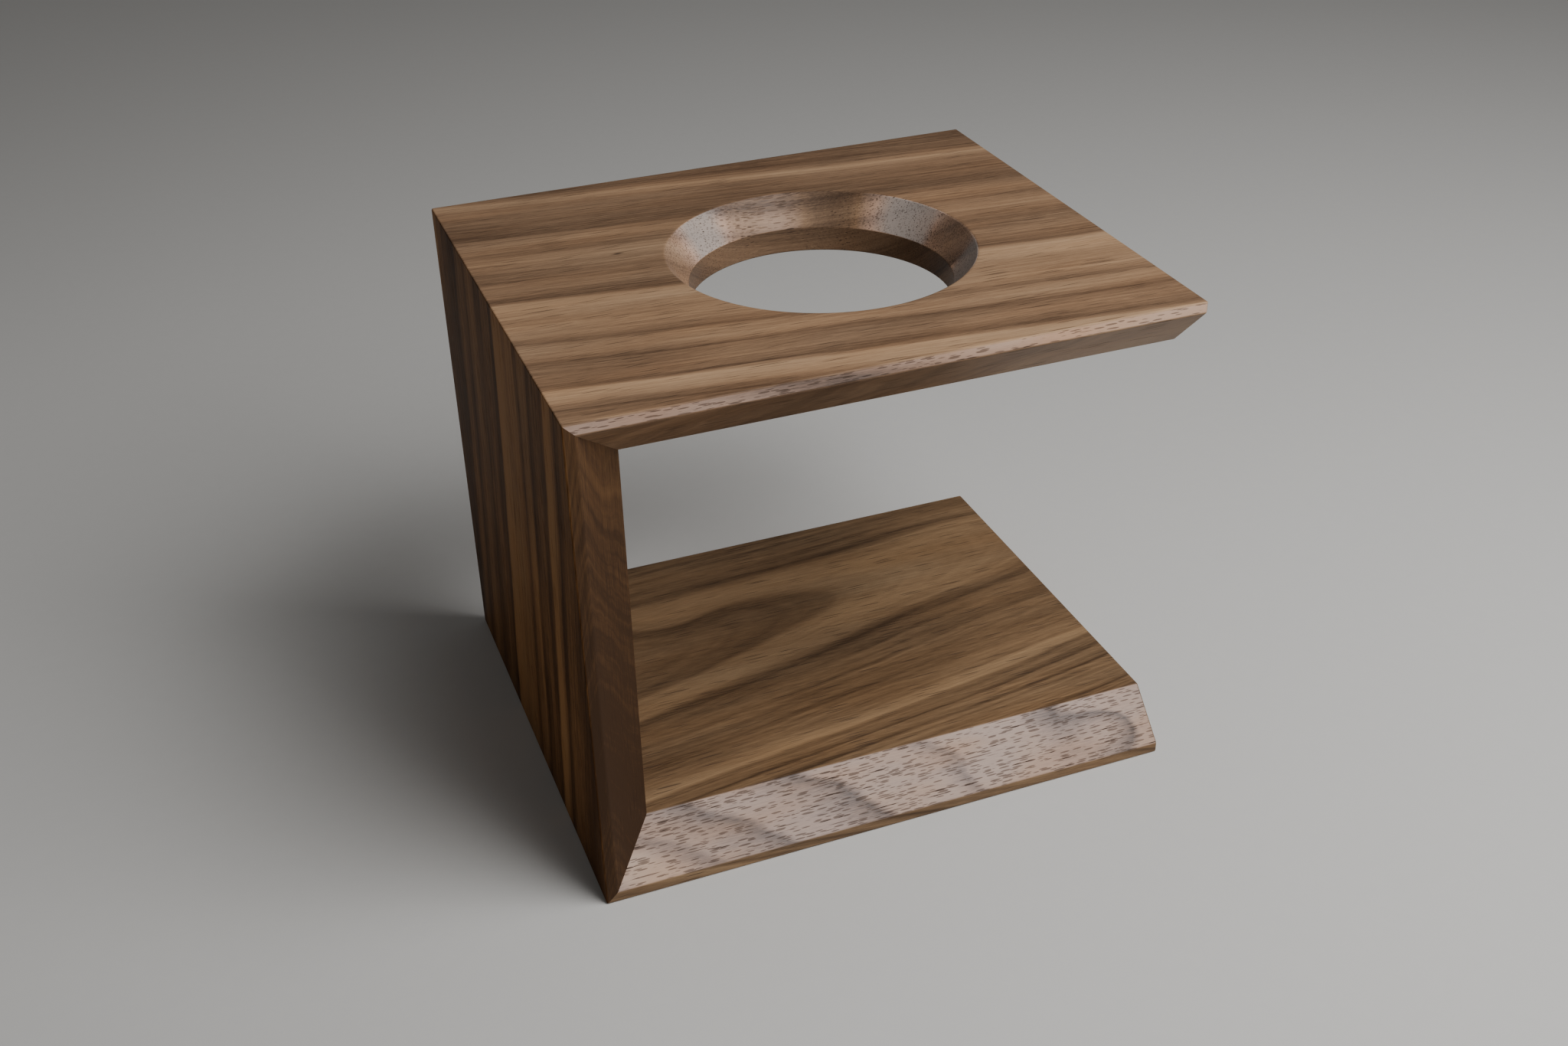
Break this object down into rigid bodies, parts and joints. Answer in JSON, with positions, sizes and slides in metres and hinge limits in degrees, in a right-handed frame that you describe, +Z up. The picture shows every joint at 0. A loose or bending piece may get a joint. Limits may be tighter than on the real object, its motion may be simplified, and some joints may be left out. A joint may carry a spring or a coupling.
{
  "type": "pour-over coffee stand",
  "caption": "Mitred walnut stand shaped like a C, open at one end: a funnel-shaped hole in its top board holds a coffee dripper over a mug on its base board.",
  "frame": {"origin": "middle of the stand's footprint, on the surface that it stands on", "axes": "+X towards the open end of the C, -Y towards the front, +Z up along the axis of the dripper bore"},
  "size_m": [0.198, 0.17, 0.17],
  "materials": {
    "walnut_base": "satin oiled walnut",
    "walnut_side": "satin oiled walnut",
    "walnut_top": "satin oiled walnut",
    "beech_tenon": "unfinished beech"
  },
  "bodies": {
    "root": {"base_board": "walnut_base", "side_board": "walnut_side", "top_board": "walnut_top", "base_front_tenon": "beech_tenon", "base_middle_tenon": "beech_tenon", "base_back_tenon": "beech_tenon", "top_front_tenon": "beech_tenon", "top_middle_tenon": "beech_tenon", "top_back_tenon": "beech_tenon"}
  },
  "joints": []
}
